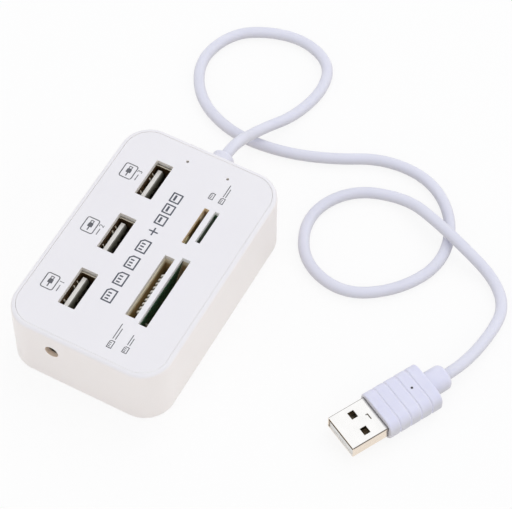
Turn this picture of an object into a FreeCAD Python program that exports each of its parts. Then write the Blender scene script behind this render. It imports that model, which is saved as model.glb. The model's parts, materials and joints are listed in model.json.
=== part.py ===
import FreeCAD, Part
import math
import os

# Sizes are in millimetres. X runs across the case towards the card slots, Y runs back towards
# the cable, and Z is up. The origin is on the table, under the middle of the case.

V = FreeCAD.Vector
X_AXIS = V(1, 0, 0)
Y_AXIS = V(0, 1, 0)
Z_AXIS = V(0, 0, 1)

# Case, a moulded tub
CASE_W = 49.5
CASE_L = 76.4
CASE_H = 22.3
CASE_CORNER_R = 9.0
CASE_WALL = 2.2
CASE_FLOOR = 1.8
RIM_EDGE_R = 1.15
BASE_EDGE_R = 1.0

# Panel let into the rim of the case
RIM_W = 1.35
PANEL_T = 1.6
PANEL_GAP = 0.06
PANEL_EDGE_R = 0.12
PINHOLE_D = 0.85
PINHOLE_BACK = 4.3

# Screws from below, the case's posts and the panel's bosses
BOSS_R = 2.2
BOSS_GAP = 0.2
POST_R = 3.3
POST_TOP = 10.0
SCREW_HEAD_R = 2.0
SCREW_HEAD_T = 1.5
SCREW_SEAT_Z = 6.0
SCREW_R = 1.05
SCREW_L = 9.0
SCREW_SLIP = 0.25
PILOT_SLIP = 0.05
PILOT_SPARE = 1.0
DRIVE_L = 2.2
DRIVE_W = 0.5
DRIVE_T = 0.8

# Boards, standing on the floor between ribs and held by notched blocks under the panel
HUB_BOARD_T = 1.6
CARD_BOARD_T = 1.2
CARD_BOARD_X = 9.9
CARD_BOARD_MARGIN = 1.65
BOARD_SLIP = 0.1
BOARD_END_GAP = 0.2
BOARD_TOP_GAP = 1.0
RIB_T = 1.1
RIB_H = 1.3
RAIL_L = 2.0
RAIL_TOP = 11.5
COMB_T = 1.2
COMB_L = 1.2
COMB_H = 2.2

# Three ports in a row
PORT_COUNT = 3
PORT_X = -9.75
PORT_JACK_GAP = 0.35
PORT_BACK_GAP = 7.95
PORT_CUT_W = 5.35
PORT_CUT_L = 13.1
PORT_CUT_R = 0.3
PORT_PANEL_GAP = 0.4
SHELL_INNER_W = 5.12
SHELL_INNER_L = 12.5
SHELL_T = 0.3
SHELL_CORNER_R = 0.6
SHELL_DEPTH = 13.8
FINGER_W = 2.0
FINGER_OFFSET = 2.6
FINGER_SLOT = 0.4
FINGER_ROOT = 8.5
FINGER_BEND = 2.4
FINGER_TIP = 0.9
FINGER_BULGE = 0.5

# The tongue and its contacts
TONGUE_GAP = 0.72
TONGUE_T = 1.84
TONGUE_TIP_T = 1.2
TONGUE_BEVEL = 1.2
TONGUE_L = 11.1
TONGUE_SETBACK = 1.05
PORT_BASE_T = 3.4
PORT_BASE_SLIP = 0.05
PORT_CONTACT_Y = (-3.5, -1.0, 1.0, 3.5)
CONTACT_W = 1.0
CONTACT_T = 0.25
CONTACT_SINK = 0.15
CONTACT_SLIP = 0.05
PORT_CONTACT_SETBACK = 1.6
PORT_TAIL_DROP = 0.7

# Power inlet
INLET_X = -8.2
INLET_Z = 15.1
INLET_HOLE_D = 4.2
JACK_W = 5.6
JACK_H = 5.8
JACK_L = 9.2
JACK_GAP = 0.1
JACK_NOSE = 0.8
JACK_BORE_D = 3.8
JACK_BORE_L = 7.8
JACK_PIN_D = 1.35
JACK_PIN_SETBACK = 1.2
JACK_WINDOW_W = 2.0
JACK_WINDOW_L = 5.8
JACK_SPRING_T = 0.2
JACK_SPRING_W = 1.6
JACK_SPRING_RISE = 0.9

# Card slots, each measured from its board: gap to the board, width, length and middle
STICK_GAP = 0.35
STICK_W = 3.1
STICK_L = 22.3
STICK_Y = -10.65
CARD_GAP = 0.05
CARD_W = 2.65
CARD_L = 24.8
CARD_Y = -10.4
MINI_GAP = 0.05
MINI_W = 1.55
MINI_L = 13.4
MINI_Y = 13.1
MICRO_GAP = 0.38
MICRO_W = 1.5
MICRO_L = 11.7
MICRO_Y = 14.25
SLOT_CUT_R = 0.2

# Card sockets behind the slots
SOCKET_WALL = 0.9
SOCKET_END = 1.3
SOCKET_STOP = 1.6
SOCKET_TOP_GAP = 0.2
SOCKET_LEAD_IN = 0.55
LARGE_SOCKET_BOTTOM = 3.4
SMALL_SOCKET_BOTTOM = 6.0
COVER_T = 0.25
COVER_SETBACK = 0.6

# Contact rows of the card sockets
STICK_CONTACT_COUNT = 10
STICK_PITCH = 1.5
STICK_ROW_OFFSET = -0.4
STICK_REACH = 2.1
STICK_BEND_DROP = 1.3
STICK_LIP = (1.1, 1.0)
CARD_CONTACT_COUNT = 9
CARD_PITCH = 2.5
CARD_REACH = 1.4
MINI_CONTACT_COUNT = 11
MINI_PITCH = 1.0
MINI_REACH = 0.9
MICRO_CONTACT_COUNT = 8
MICRO_PITCH = 1.1
MICRO_REACH = 1.1
DEEP_BEND_DROP = 8.0
SPRING_W = 0.7
SMALL_SPRING_W = 0.5
SPRING_T = 0.2
SPRING_FOOT = 2.0
SPRING_LIP = (0.35, 0.35)
DETECT_W = 1.7
DETECT_LEAN = 3.2
DETECT_L = 9.0
DETECT_DROP = 2.0
DETECT_T = 0.25

# Lights under the pinholes
LIGHT_REACH = 0.75
LIGHT_L = 3.0
LIGHT_H = 2.8
LIGHT_DOME_R = 0.6
LIGHT_TOP_GAP = 0.4

# Electronics; the small parts of the card board are placed from the middle of the reader chip
HUB_CHIP_Y = 5.0
HUB_CHIP_Z = 10.5
HUB_CHIP_L = 10.2
HUB_CHIP_W = 5.3
HUB_CHIP_LEAD_COUNT = 14
READER_CHIP_GAP = 0.7
READER_CHIP_Z = 9.0
READER_CHIP_L = 7.2
READER_CHIP_W = 5.3
READER_CHIP_LEAD_COUNT = 10
CHIP_T = 1.6
CHIP_STAND = 0.1
LEAD_PITCH = 0.65
LEAD_W = 0.3
LEAD_T = 0.2
LEAD_OUT = 0.5
LEAD_FOOT = 0.5
CRYSTAL_Y = -9.0
CRYSTAL_Z = 9.0
CRYSTAL_L = 11.2
CRYSTAL_W = 4.6
CRYSTAL_T = 3.5
CRYSTAL_BASE_T = 0.6
CRYSTAL_FLANGE = 0.5
CRYSTAL_CORNER_R = 2.0
CAPACITOR_BACK = 5.0
CAPACITOR_Z = 9.0
CAPACITOR_D = 5.0
CAPACITOR_H = 7.0
CAPACITOR_CRIMP = 0.35
CHIP_PART_L = 1.6
CHIP_PART_W = 0.8
CHIP_PART_T = 0.5
HUB_PART_PLACES = ((-2.5, 15.5), (-2.5, 5.5), (12.5, 12.5), (12.5, 8.0), (-15.5, 6.0), (14.8, 10.3))
CARD_PART_PLACES = ((-3.4, 5.5), (0.2, 5.8), (3.6, 5.5), (-3.2, -4.9))

# Gland in the back wall
GLAND_X = 1.4
GLAND_Z = INLET_Z
GLAND_D = 6.9
GLAND_REACH = 4.7
GLAND_NECK_D = 5.2
GLAND_NECK_SLIP = 0.1
GLAND_FLANGE_D = 7.2
GLAND_FLANGE_T = 2.0
GLAND_EDGE_R = 0.9

# Leads from the cable to the hub board, and wires between the boards
LEAD_NAMES = ("lead_red", "lead_white", "lead_green", "lead_black")
LEAD_D = 0.9
LEAD_SPREAD = 0.75
LEAD_RUN = 4.5
LEAD_SLANT = 4.5
LEAD_PAD_TOP = 16.0
LEAD_PAD_PITCH = 2.4
LEAD_PAD_RUN = 3.2
LINK_COUNT = 4
LINK_PITCH = 1.4
LINK_PAD_OFFSET = 2.4
LINK_Z = 3.9
LINK_RISE = 1.2
LINK_RUN = 4.0

# Plug, lying on its grip
PLUG_TIP_X = 71.1
PLUG_TIP_Y = -18.45
PLUG_YAW = 62.2
PLUG_W = 12.0
PLUG_T = 4.5
PLUG_REACH = 11.75
PLUG_SUNK = 5.5
PLUG_SHEET_T = 0.3
PLUG_CORNER_R = 0.4
WINDOW_L = 2.0
WINDOW_W = 2.4
WINDOW_SETBACK = 6.0
WINDOW_OFFSET = 2.95
LATCH_REAR = 9.7
LATCH_L = 0.8
LATCH_W = 2.0
LATCH_OFFSET = 0.1
LATCH_SLIT = 0.35
LATCH_DEPTH = 1.2
INSERT_SLIP = 0.05
INSERT_SETBACK = 0.4
CAVITY_L = 9.2
PLUG_CONTACT_SETBACK = 1.6
GRIP_W = 14.4
GRIP_T = 8.0
GRIP_L = 17.7
GRIP_CORNER_R = 3.2
GRIP_BAND_COUNT = 5
GROOVE_W = 0.22
GROOVE_T = 0.4
BAND_EDGE_R = 0.45
GATE_D = 0.75
GATE_DEPTH = 0.6
GATE_SETBACK = 23.9
GATE_OFFSET = 0.15
NECK_W = 7.5
NECK_T = 6.7
NECK_L = 6.3
NECK_CORNER_R = 3.2
NECK_EDGE_R = 1.6

# Cable
CABLE_D = 3.4
CABLE_FIRST_RUN = 3.6
CABLE_LAST_RUN = 6.8
ARC_SHARE = 0.45
END_ARC_SHARE = 0.9
CROSSING_LIFT = 2.0 * CABLE_D

# Points of the cable's route between gland and plug: X, Y and the lift above the table
CABLE_ROUTE = (
    (1.7, 52.4, 10.9), (1.3, 57.2, 6.8), (2.8, 64.9, 3.1), (7.5, 75.1, 0.0), (10.6, 87.3, 0.0),
    (8.2, 97.8, 0.0), (-2.0, 102.9, 0.0), (-13.5, 101.5, 0.0), (-24.5, 95.0, 0.0), (-28.6, 80.5, 0.0),
    (-20.5, 66.8, 0.0), (-5.5, 60.3, 0.0), (10.5, 61.3, 0.0), (25.0, 66.2, 0.0), (38.5, 73.9, 0.0),
    (54.5, 73.6, 0.0), (66.5, 63.2, 0.0), (70.3, 47.7, 0.0), (63.0, 33.6, 0.0), (49.5, 24.6, 0.0),
    (33.8, 29.6, 0.0), (27.6, 45.0, 0.0), (35.2, 59.2, 0.0), (51.0, 64.0, 0.0), (63.2, 58.2, CROSSING_LIFT),
    (74.4, 53.6, CROSSING_LIFT), (85.0, 50.7, 0.0), (91.8, 43.6, 0.0), (92.9, 35.1, 0.0),
)

# Places that follow from the sizes above
PANEL_UNDER = CASE_H - PANEL_T
INNER_X = CASE_W / 2 - CASE_WALL
INNER_Y = CASE_L / 2 - CASE_WALL
INNER_CORNER_R = CASE_CORNER_R - CASE_WALL
SCREW_DIAGONAL = (INNER_CORNER_R - BOSS_R - BOSS_GAP) / math.sqrt(2)
SCREW_X = CASE_W / 2 - CASE_CORNER_R + SCREW_DIAGONAL
SCREW_Y = CASE_L / 2 - CASE_CORNER_R + SCREW_DIAGONAL
SCREW_PLACES = [(x, y) for x in (-SCREW_X, SCREW_X) for y in (-SCREW_Y, SCREW_Y)]
SHELL_W = SHELL_INNER_W + 2 * SHELL_T
SHELL_L = SHELL_INNER_L + 2 * SHELL_T
SHELL_TOP = PANEL_UNDER - PORT_PANEL_GAP
SHELL_BOTTOM = SHELL_TOP - SHELL_DEPTH
HUB_X0 = PORT_X + SHELL_W / 2
HUB_X1 = HUB_X0 + HUB_BOARD_T
CARD_X0 = CARD_BOARD_X - CARD_BOARD_T / 2
CARD_X1 = CARD_BOARD_X + CARD_BOARD_T / 2
BOARD_TOP = PANEL_UNDER - BOARD_TOP_GAP
BOARD_BACK = INNER_Y - BOARD_END_GAP
HUB_BOARD_FRONT = -INNER_Y + BOARD_END_GAP
JACK_FRONT = -INNER_Y - JACK_NOSE + JACK_GAP
JACK_REAR = JACK_FRONT + JACK_L
JACK_UNDER = INLET_Z - JACK_H / 2
PORT_FIRST_Y = JACK_REAR + PORT_JACK_GAP + SHELL_L / 2
PORT_LAST_Y = INNER_Y - PORT_BACK_GAP - SHELL_L / 2
PORT_PITCH = (PORT_LAST_Y - PORT_FIRST_Y) / (PORT_COUNT - 1)
PORT_PLACES = [PORT_FIRST_Y + i * PORT_PITCH for i in range(PORT_COUNT)]
PINHOLE_Y = INNER_Y - PINHOLE_BACK
CAPACITOR_Y = JACK_REAR + CAPACITOR_BACK
SOCKET_TOP = PANEL_UNDER - SOCKET_TOP_GAP
GLAND_BACK = CASE_L / 2 + GLAND_REACH
GLAND_INSIDE = INNER_Y - GLAND_FLANGE_T
LEAD_PAD_Y = GLAND_INSIDE - LEAD_RUN - LEAD_SLANT
LINK_Y = LEAD_PAD_Y - LINK_PAD_OFFSET
GRIP_REAR = PLUG_REACH + GRIP_L
NECK_REAR = GRIP_REAR + NECK_L
PLUG_AXIS = V(math.cos(math.radians(PLUG_YAW)), math.sin(math.radians(PLUG_YAW)), 0)
PLUG_TIP = V(PLUG_TIP_X, PLUG_TIP_Y, GRIP_T / 2)
CUT_SPARE = 1.0
SAME_PLACE = 1e-6


class Slot:
    """A card slot beside the card board: side is -1 or +1, and far is the face away from the board."""

    def __init__(self, side, gap, width, length, middle):
        self.side = side
        self.face = CARD_X1 if side > 0 else CARD_X0
        self.near = self.face + side * gap
        self.far = self.near + side * width
        self.x = (self.near + self.far) / 2
        self.width = width
        self.length = length
        self.y = middle
        self.y0 = middle - length / 2
        self.y1 = middle + length / 2


STICK = Slot(-1, STICK_GAP, STICK_W, STICK_L, STICK_Y)
CARD = Slot(1, CARD_GAP, CARD_W, CARD_L, CARD_Y)
MINI = Slot(-1, MINI_GAP, MINI_W, MINI_L, MINI_Y)
MICRO = Slot(1, MICRO_GAP, MICRO_W, MICRO_L, MICRO_Y)

CARD_BOARD_FRONT = CARD.y0 - SOCKET_END - COVER_T - CARD_BOARD_MARGIN
READER_CHIP_Y = MICRO.y1 + SOCKET_END + READER_CHIP_GAP + READER_CHIP_L / 2
PINHOLES = ((HUB_X1 + LIGHT_REACH, PINHOLE_Y), (CARD_X0 - LIGHT_REACH, PINHOLE_Y))


def box(x0, x1, y0, y1, z0, z1):
    """A block between two corners, given in any order along X."""
    low = min(x0, x1)
    return Part.makeBox(abs(x1 - x0), y1 - y0, z1 - z0, V(low, y0, z0))


def rounded_outline(x, y, width, length, radius, z):
    """A closed rectangle with round corners, width along X and length along Y."""
    a = width / 2
    b = length / 2
    diagonal = radius * (1 - math.sqrt(0.5))
    edges = []
    for sx, sy in ((1, 1), (-1, 1), (-1, -1), (1, -1)):
        start = V(x + sx * a, y + sy * (b - radius), z)
        end = V(x + sx * (a - radius), y + sy * b, z)
        middle = V(x + sx * (a - diagonal), y + sy * (b - diagonal), z)
        if sx * sy < 0:
            start, end = end, start
        edges.append(Part.Arc(start, middle, end).toShape())
    sides = []
    for arc, following in zip(edges, edges[1:] + edges[:1]):
        sides.append(arc)
        sides.append(Part.LineSegment(arc.lastVertex().Point, following.firstVertex().Point).toShape())
    return Part.Wire(sides)


def rounded_block(x, y, width, length, radius, z0, z1):
    outline = rounded_outline(x, y, width, length, radius, z0)
    return Part.Face(outline).extrude(V(0, 0, z1 - z0))


def upright(radius, x, y, z0, z1):
    return Part.makeCylinder(radius, z1 - z0, V(x, y, z0), Z_AXIS)


def strip(points, y0, y1):
    """A bar with a section of X, Z corners, running from y0 to y1."""
    corners = [V(x, y0, z) for x, z in points]
    outline = Part.makePolygon(corners + corners[:1])
    return Part.Face(outline).extrude(V(0, y1 - y0, 0))


def edges_at(shape, z):
    return [e for e in shape.Edges if all(abs(v.Z - z) < SAME_PLACE for v in e.Vertexes)]


def edges_along(shape, y):
    return [e for e in shape.Edges if all(abs(v.Y - y) < SAME_PLACE for v in e.Vertexes)]


def fuse(shapes):
    return shapes[0].fuse(shapes[1:]).removeSplitter()


def save(name, shape):
    shape.exportStep("parts/" + name + ".step")


def save_group(name, shapes):
    save(name, Part.makeCompound(shapes))


def tube(name, points, diameter):
    """A round tube along straight runs, with an arc at each corner as large as its runs allow."""
    edges = []
    radii = []
    start = points[0]
    room = [ARC_SHARE * (b - a).Length for a, b in zip(points, points[1:])]
    room[0] *= END_ARC_SHARE / ARC_SHARE
    room[-1] *= END_ARC_SHARE / ARC_SHARE
    for i, corner in enumerate(points[1:-1]):
        back = points[i] - corner
        ahead = points[i + 2] - corner
        reach = min(room[i], room[i + 1])
        half_turn = (math.pi - back.getAngle(ahead)) / 2
        radius = reach / math.tan(half_turn)
        back.normalize()
        ahead.normalize()
        inward = back + ahead
        inward.normalize()
        arc_start = corner + back * reach
        arc_end = corner + ahead * reach
        arc_middle = corner + inward * (radius / math.cos(half_turn) - radius)
        edges.append(Part.LineSegment(start, arc_start).toShape())
        edges.append(Part.Arc(arc_start, arc_middle, arc_end).toShape())
        radii.append(round(radius, 1))
        start = arc_end
    edges.append(Part.LineSegment(start, points[-1]).toShape())
    path = Part.Wire(edges)
    section = Part.Wire(Part.makeCircle(diameter / 2, points[0], points[1] - points[0]))
    solid = path.makePipeShell([section], True, False)
    expected = math.pi * diameter ** 2 / 4 * path.Length
    print(name, "length", round(path.Length, 1), "volume", round(solid.Volume, 2),
          "section by length", round(expected, 2), "radii", radii)
    return solid


def lower_case():
    outside = rounded_block(0, 0, CASE_W, CASE_L, CASE_CORNER_R, 0, CASE_H)
    outside = outside.makeFillet(RIM_EDGE_R, edges_at(outside, CASE_H))
    outside = outside.makeFillet(BASE_EDGE_R, edges_at(outside, 0))
    hollow = rounded_block(0, 0, 2 * INNER_X, 2 * INNER_Y, INNER_CORNER_R, CASE_FLOOR, CASE_H + CUT_SPARE)
    recess = rounded_block(0, 0, CASE_W - 2 * RIM_W, CASE_L - 2 * RIM_W, CASE_CORNER_R - RIM_W,
                           PANEL_UNDER, CASE_H + CUT_SPARE)
    added = [upright(POST_R, x, y, CASE_FLOOR, POST_TOP) for x, y in SCREW_PLACES]
    boards = ((HUB_X0, HUB_X1, HUB_BOARD_FRONT), (CARD_X0, CARD_X1, CARD_BOARD_FRONT))
    for x0, x1, front in boards:
        low = x0 - BOARD_SLIP
        high = x1 + BOARD_SLIP
        for inner, outer in ((low, low - RIB_T), (high, high + RIB_T)):
            added.append(box(inner, outer, front, BOARD_BACK, CASE_FLOOR, CASE_FLOOR + RIB_H))
            added.append(box(inner, outer, INNER_Y - RAIL_L, INNER_Y, CASE_FLOOR, RAIL_TOP))
            if front == HUB_BOARD_FRONT:
                added.append(box(inner, outer, -INNER_Y, -INNER_Y + RAIL_L, CASE_FLOOR, RAIL_TOP))
    cuts = []
    cuts.append(Part.makeCylinder(INLET_HOLE_D / 2, CASE_WALL + CUT_SPARE,
                                  V(INLET_X, -CASE_L / 2 - CUT_SPARE, INLET_Z), Y_AXIS))
    half = JACK_W / 2 + JACK_GAP
    cuts.append(box(INLET_X - half, INLET_X + half, -INNER_Y - JACK_NOSE, -INNER_Y + CUT_SPARE,
                    JACK_UNDER - JACK_GAP, INLET_Z + JACK_H / 2 + JACK_GAP))
    cuts.append(Part.makeCylinder(GLAND_NECK_D / 2 + GLAND_NECK_SLIP, CASE_WALL + CUT_SPARE,
                                  V(GLAND_X, INNER_Y, GLAND_Z), Y_AXIS))
    for x, y in SCREW_PLACES:
        cuts.append(upright(SCREW_HEAD_R + SCREW_SLIP, x, y, -CUT_SPARE, SCREW_SEAT_Z))
        cuts.append(upright(SCREW_R + SCREW_SLIP, x, y, SCREW_SEAT_Z, POST_TOP + CUT_SPARE))
    return fuse([outside.cut([hollow, recess])] + added).cut(cuts)


def top_panel():
    inset = RIM_W + PANEL_GAP
    plate = rounded_block(0, 0, CASE_W - 2 * inset, CASE_L - 2 * inset, CASE_CORNER_R - inset,
                          PANEL_UNDER, CASE_H)
    plate = plate.makeFillet(PANEL_EDGE_R, edges_at(plate, CASE_H))
    added = [upright(BOSS_R, x, y, POST_TOP, PANEL_UNDER) for x, y in SCREW_PLACES]
    cuts = []
    for x, y in SCREW_PLACES:
        pilot_top = SCREW_SEAT_Z + SCREW_L + PILOT_SPARE
        cuts.append(upright(SCREW_R + PILOT_SLIP, x, y, POST_TOP - CUT_SPARE, pilot_top))
    between_sockets = (CARD.y1 + SOCKET_END + COVER_T + MINI.y0 - SOCKET_END) / 2
    past_sockets = (MICRO.y1 + SOCKET_END + PINHOLE_Y - LIGHT_L / 2) / 2
    combs = [(HUB_X0, HUB_X1, (a + b) / 2) for a, b in zip(PORT_PLACES, PORT_PLACES[1:])]
    combs += [(CARD_X0, CARD_X1, between_sockets), (CARD_X0, CARD_X1, past_sockets)]
    for x0, x1, y in combs:
        comb_under = PANEL_UNDER - COMB_H
        added.append(box(x0 - BOARD_SLIP - COMB_T, x1 + BOARD_SLIP + COMB_T, y - COMB_L / 2, y + COMB_L / 2,
                         comb_under, PANEL_UNDER))
        cuts.append(box(x0 - BOARD_SLIP, x1 + BOARD_SLIP, y - COMB_L, y + COMB_L,
                        comb_under - CUT_SPARE, BOARD_TOP + BOARD_SLIP))
    for y in PORT_PLACES:
        cuts.append(rounded_block(PORT_X, y, PORT_CUT_W, PORT_CUT_L, PORT_CUT_R,
                                  PANEL_UNDER - CUT_SPARE, CASE_H + CUT_SPARE))
    for slot in (STICK, CARD, MINI, MICRO):
        cuts.append(rounded_block(slot.x, slot.y, slot.width, slot.length, SLOT_CUT_R,
                                  PANEL_UNDER - CUT_SPARE, CASE_H + CUT_SPARE))
    for x, y in PINHOLES:
        cuts.append(upright(PINHOLE_D / 2, x, y, PANEL_UNDER - CUT_SPARE, CASE_H + CUT_SPARE))
    return fuse([plate] + added).cut(cuts)


def case_screw(x, y):
    """A pan-head screw, head down, with a cross drive."""
    head_under = SCREW_SEAT_Z - SCREW_HEAD_T
    head = upright(SCREW_HEAD_R, x, y, head_under, SCREW_SEAT_Z)
    shank = upright(SCREW_R, x, y, SCREW_SEAT_Z, SCREW_SEAT_Z + SCREW_L)
    screw = fuse([head, shank])
    a = DRIVE_L / 2
    b = DRIVE_W / 2
    drive_top = head_under + DRIVE_T
    return screw.cut([box(x - a, x + a, y - b, y + b, head_under - CUT_SPARE, drive_top),
                      box(x - b, x + b, y - a, y + a, head_under - CUT_SPARE, drive_top)])


def hub_board():
    """The port board, cut away at its front top corner for the inlet."""
    board = box(HUB_X0, HUB_X1, HUB_BOARD_FRONT, BOARD_BACK, CASE_FLOOR, BOARD_TOP)
    notch = box(HUB_X0 - CUT_SPARE, HUB_X1 + CUT_SPARE, HUB_BOARD_FRONT - CUT_SPARE, JACK_REAR + JACK_GAP,
                JACK_UNDER, BOARD_TOP + CUT_SPARE)
    return board.cut(notch)


def card_board():
    return box(CARD_X0, CARD_X1, CARD_BOARD_FRONT, BOARD_BACK, CASE_FLOOR, BOARD_TOP)


def finger(wall_x, inward, y):
    """A bent spring finger that leaves the wall at its root and bulges into the port."""
    root = SHELL_TOP - FINGER_ROOT
    bend = SHELL_TOP - FINGER_BEND
    tip = SHELL_TOP - FINGER_TIP
    outer_x = wall_x - inward * SHELL_T
    bulge = inward * FINGER_BULGE
    points = ((outer_x, root), (wall_x, root), (wall_x + bulge, bend), (wall_x, tip),
              (outer_x, tip), (outer_x + bulge, bend))
    return strip(points, y - FINGER_W / 2, y + FINGER_W / 2)


def port_shell(port_y):
    """A folded sheet shell, open at the mouth, with two spring fingers in each broad wall."""
    outside = rounded_block(PORT_X, port_y, SHELL_W, SHELL_L, SHELL_CORNER_R, SHELL_BOTTOM, SHELL_TOP)
    inside = rounded_block(PORT_X, port_y, SHELL_INNER_W, SHELL_INNER_L, SHELL_CORNER_R - SHELL_T,
                           SHELL_BOTTOM - CUT_SPARE, SHELL_TOP + CUT_SPARE)
    windows = []
    fingers = []
    for inward in (1, -1):
        wall_x = PORT_X - inward * SHELL_INNER_W / 2
        for y in (port_y - FINGER_OFFSET, port_y + FINGER_OFFSET):
            half = FINGER_W / 2 + FINGER_SLOT
            windows.append(box(wall_x, wall_x - inward * SHELL_T, y - half, y + half,
                               SHELL_TOP - FINGER_ROOT, SHELL_TOP - FINGER_TIP + FINGER_SLOT))
            fingers.append(finger(wall_x, inward, y))
    return fuse([outside.cut([inside] + windows)] + fingers)


def port_tongue(port_y):
    """The insulator: a base that fills the shell's back and a bevelled tongue with contact grooves."""
    slip = PORT_BASE_SLIP
    half_w = SHELL_INNER_W / 2 - slip
    half_l = SHELL_INNER_L / 2 - slip
    base_top = SHELL_BOTTOM + PORT_BASE_T
    base = rounded_block(PORT_X, port_y, 2 * half_w, 2 * half_l, SHELL_CORNER_R - SHELL_T,
                         SHELL_BOTTOM, base_top)
    back = PORT_X - SHELL_INNER_W / 2 + TONGUE_GAP
    face = back + TONGUE_T
    tip = SHELL_TOP - TONGUE_SETBACK
    section = ((back, base_top), (face, base_top), (face, tip - TONGUE_BEVEL),
               (back + TONGUE_TIP_T, tip), (back, tip))
    tongue = strip(section, port_y - TONGUE_L / 2, port_y + TONGUE_L / 2)
    grooves = []
    for y in PORT_CONTACT_Y:
        half = CONTACT_W / 2 + CONTACT_SLIP
        grooves.append(box(face - CONTACT_SINK, face - CONTACT_SINK + CONTACT_T + CONTACT_SLIP,
                           port_y + y - half, port_y + y + half,
                           SHELL_BOTTOM - CUT_SPARE, tip - PORT_CONTACT_SETBACK + CONTACT_SLIP))
    return fuse([base, tongue]).cut(grooves)


def port_contact(y):
    """One contact: a blade along the tongue and a tail bent out to the board."""
    face = PORT_X - SHELL_INNER_W / 2 + TONGUE_GAP + TONGUE_T
    inner = face - CONTACT_SINK
    tail_under = SHELL_BOTTOM - PORT_TAIL_DROP
    blade_top = SHELL_TOP - TONGUE_SETBACK - PORT_CONTACT_SETBACK
    outer = inner + CONTACT_T
    tail_top = tail_under + CONTACT_T
    section = ((inner, tail_under), (HUB_X0, tail_under), (HUB_X0, tail_top), (outer, tail_top),
               (outer, blade_top), (inner, blade_top))
    return strip(section, y - CONTACT_W / 2, y + CONTACT_W / 2)


def jack_body():
    """The inlet's block, with a bore for the mating plug and a window below for the spring."""
    block = box(INLET_X - JACK_W / 2, INLET_X + JACK_W / 2, JACK_FRONT, JACK_REAR,
                JACK_UNDER, INLET_Z + JACK_H / 2)
    bore = Part.makeCylinder(JACK_BORE_D / 2, JACK_BORE_L + CUT_SPARE,
                             V(INLET_X, JACK_FRONT - CUT_SPARE, INLET_Z), Y_AXIS)
    window_rear = JACK_FRONT + JACK_BORE_L
    window = box(INLET_X - JACK_WINDOW_W / 2, INLET_X + JACK_WINDOW_W / 2,
                 window_rear - JACK_WINDOW_L, window_rear, JACK_UNDER - CUT_SPARE, INLET_Z)
    return block.cut([bore, window])


def jack_pin():
    rear = JACK_FRONT + JACK_BORE_L
    front = JACK_FRONT + JACK_PIN_SETBACK
    pin = Part.makeCylinder(JACK_PIN_D / 2, rear - front, V(INLET_X, front, INLET_Z), Y_AXIS)
    return pin.makeFillet(JACK_PIN_D / 3, edges_along(pin, front))


def jack_spring():
    """A leaf fixed at the window's rear end that rises to touch the mating plug."""
    rear = JACK_FRONT + JACK_BORE_L
    front = rear - JACK_WINDOW_L + JACK_SPRING_RISE
    low = JACK_UNDER
    high = INLET_Z - JACK_BORE_D / 2 + JACK_SPRING_T
    bend = front + JACK_SPRING_RISE
    profile = ((rear, low), (rear, low + JACK_SPRING_T), (bend, high), (front, high - JACK_SPRING_RISE / 2),
               (front, high - JACK_SPRING_RISE / 2 - JACK_SPRING_T), (bend, high - JACK_SPRING_T))
    corners = [V(INLET_X - JACK_SPRING_W / 2, y, z) for y, z in profile]
    outline = Part.makePolygon(corners + corners[:1])
    return Part.Face(outline).extrude(V(JACK_SPRING_W, 0, 0))


def pocket_socket(slot, bottom):
    """A moulded frame on the board, open at the top and towards the board, with a sloped lead-in."""
    outer = slot.far + slot.side * SOCKET_WALL
    frame = box(slot.face, outer, slot.y0 - SOCKET_END, slot.y1 + SOCKET_END, bottom, SOCKET_TOP)
    pocket = box(slot.face, slot.far, slot.y0, slot.y1, bottom + SOCKET_STOP, SOCKET_TOP + CUT_SPARE)
    lead = SOCKET_LEAD_IN
    corners = ((slot.far, SOCKET_TOP - lead), (slot.far, SOCKET_TOP),
               (slot.far + slot.side * lead, SOCKET_TOP))
    slope = strip(corners, slot.y0, slot.y1)
    return frame.cut([pocket, slope])


def card_socket():
    """The full-size frame: two side rails and a stop between the board and the sheet cover."""
    rails = [box(CARD.face, CARD.far, CARD.y0 - SOCKET_END, CARD.y0, LARGE_SOCKET_BOTTOM, SOCKET_TOP),
             box(CARD.face, CARD.far, CARD.y1, CARD.y1 + SOCKET_END, LARGE_SOCKET_BOTTOM, SOCKET_TOP)]
    stop = box(CARD.face, CARD.far, CARD.y0, CARD.y1, LARGE_SOCKET_BOTTOM, LARGE_SOCKET_BOTTOM + SOCKET_STOP)
    return fuse([stop] + rails)


def card_socket_cover():
    """Sheet folded round the frame's outside and down both ends to the board."""
    y0 = CARD.y0 - SOCKET_END
    y1 = CARD.y1 + SOCKET_END
    top = SOCKET_TOP - COVER_SETBACK
    sheet = box(CARD.face, CARD.far + COVER_T, y0 - COVER_T, y1 + COVER_T, LARGE_SOCKET_BOTTOM, top)
    room = box(CARD.face, CARD.far, y0, y1, LARGE_SOCKET_BOTTOM - CUT_SPARE, top + CUT_SPARE)
    return sheet.cut(room)


def contact_spring(slot, y, width, bottom, reach, bend_drop, lip):
    """A leaf soldered to the board at its foot, that bends out into the slot and ends in a lead-in lip."""
    side = slot.side
    face = slot.face
    bend = SOCKET_TOP - bend_drop
    lip_w, lip_h = lip
    tip = bend + lip_h
    foot = bottom + SOCKET_STOP
    section = ((face, foot), (face + side * SPRING_T, foot), (face + side * 2 * SPRING_T, foot + SPRING_FOOT),
               (face + side * reach, bend), (face + side * (reach - lip_w), tip),
               (face + side * (reach - lip_w - SPRING_T), tip), (face + side * (reach - SPRING_T), bend),
               (face + side * SPRING_T, foot + SPRING_FOOT))
    return strip(section, y - width / 2, y + width / 2)


def contact_row(slot, count, pitch, offset, width, bottom, reach, bend_drop, lip):
    row = []
    for i in range(count):
        y = slot.y + offset + (i - (count - 1) / 2) * pitch
        row.append(contact_spring(slot, y, width, bottom, reach, bend_drop, lip))
    return row


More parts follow.
